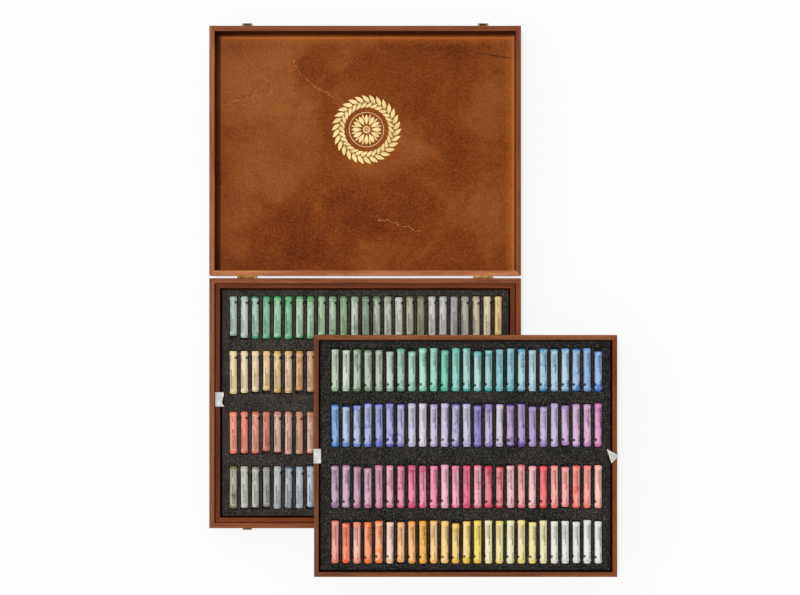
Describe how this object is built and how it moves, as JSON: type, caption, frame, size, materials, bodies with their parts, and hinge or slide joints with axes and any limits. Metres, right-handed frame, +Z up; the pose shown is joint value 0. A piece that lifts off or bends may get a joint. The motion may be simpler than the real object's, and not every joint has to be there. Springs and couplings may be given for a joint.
{
  "type": "pastel box",
  "caption": "Flat stained wooden box with a hinged lid and two lift-out trays of wrapped pastel sticks in foam; the lid lies open and one tray lies across the case's corner.",
  "frame": {"origin": "centre of the case's underside", "axes": "+X to the user's right, +Y from the case to the opened lid, +Z up"},
  "size_m": [0.6186, 0.8398, 0.0609],
  "materials": {
    "box_wood": "red-brown stain under satin varnish",
    "tray_wood": "dark red-brown stain under satin varnish",
    "brass": "satin",
    "bronze": "dark, lightly rubbed at the edges",
    "steel": "drawn wire",
    "foam": "open charcoal foam",
    "ribbon": "white satin ribbon",
    "label_paper": "thin matt paper",
    "pastel": "pressed chalky pigment, a colour for each stick"
  },
  "bodies": {
    "case": {"case_floor_panel": "box_wood", "case_front_wall": "box_wood", "case_back_wall": "box_wood", "case_left_wall": "box_wood", "case_right_wall": "box_wood", "left_hinge_case_leaf": "brass", "right_hinge_case_leaf": "brass", "left_hinge_pin": "steel", "right_hinge_pin": "steel", "hinge_case_screws": "brass", "left_latch_strike": "bronze", "right_latch_strike": "bronze", "latch_strike_screws": "brass"},
    "lid": {"lid_panel": "box_wood", "lid_front_wall": "box_wood", "lid_back_wall": "box_wood", "lid_left_wall": "box_wood", "lid_right_wall": "box_wood", "left_hinge_lid_leaf": "brass", "right_hinge_lid_leaf": "brass", "hinge_lid_screws": "brass", "left_latch_plate": "bronze", "right_latch_plate": "bronze", "left_latch_pin": "steel", "right_latch_pin": "steel", "latch_plate_screws": "brass"},
    "left_lever": {"left_latch_lever": "bronze"},
    "right_lever": {"right_latch_lever": "bronze"},
    "lower_tray": {"lower_tray_board": "tray_wood", "lower_tray_front_wall": "tray_wood", "lower_tray_back_wall": "tray_wood", "lower_tray_left_wall": "tray_wood", "lower_tray_right_wall": "tray_wood", "lower_tray_foam": "foam", "lower_tray_left_ribbon": "ribbon", "lower_tray_right_ribbon": "ribbon", "lower_tray_sticks_row_1": "pastel", "lower_tray_sticks_row_2": "pastel", "lower_tray_sticks_row_3": "pastel", "lower_tray_sticks_row_4": "pastel", "lower_tray_labels_row_1": "label_paper", "lower_tray_labels_row_2": "label_paper", "lower_tray_labels_row_3": "label_paper", "lower_tray_labels_row_4": "label_paper"},
    "upper_tray": {"upper_tray_board": "tray_wood", "upper_tray_front_wall": "tray_wood", "upper_tray_back_wall": "tray_wood", "upper_tray_left_wall": "tray_wood", "upper_tray_right_wall": "tray_wood", "upper_tray_foam": "foam", "upper_tray_left_ribbon": "ribbon", "upper_tray_right_ribbon": "ribbon", "upper_tray_sticks_row_1": "pastel", "upper_tray_sticks_row_2": "pastel", "upper_tray_sticks_row_3": "pastel", "upper_tray_sticks_row_4": "pastel", "upper_tray_labels_row_1": "label_paper", "upper_tray_labels_row_2": "label_paper", "upper_tray_labels_row_3": "label_paper", "upper_tray_labels_row_4": "label_paper"}
  },
  "joints": [
    {"name": "lid_hinge", "type": "hinge", "parent": "case", "child": "lid", "pos_m": [0, 0.1923, 0.03415], "axis": [1, 0, 0], "range_deg": [0, 180]},
    {"name": "lower_tray_lift", "type": "slide", "parent": "case", "child": "lower_tray", "axis": [0, 0, 1], "range_m": [0, 0.03]},
    {"name": "upper_tray_slide", "type": "slide", "parent": "lower_tray", "child": "upper_tray", "axis": [0, -1, 0], "range_m": [0, 0.33]},
    {"name": "left_latch", "type": "hinge", "parent": "lid", "child": "left_lever", "pos_m": [-0.18, 0.578, 0.028], "axis": [-1, 0, 0], "range_deg": [-180, 0]},
    {"name": "right_latch", "type": "hinge", "parent": "lid", "child": "right_lever", "pos_m": [0.18, 0.578, 0.028], "axis": [-1, 0, 0], "range_deg": [-180, 0]}
  ],
  "couplings": [
    {"joint": "upper_tray_slide", "follows": "lid_hinge", "m_per_rad": 0.105}
  ]
}
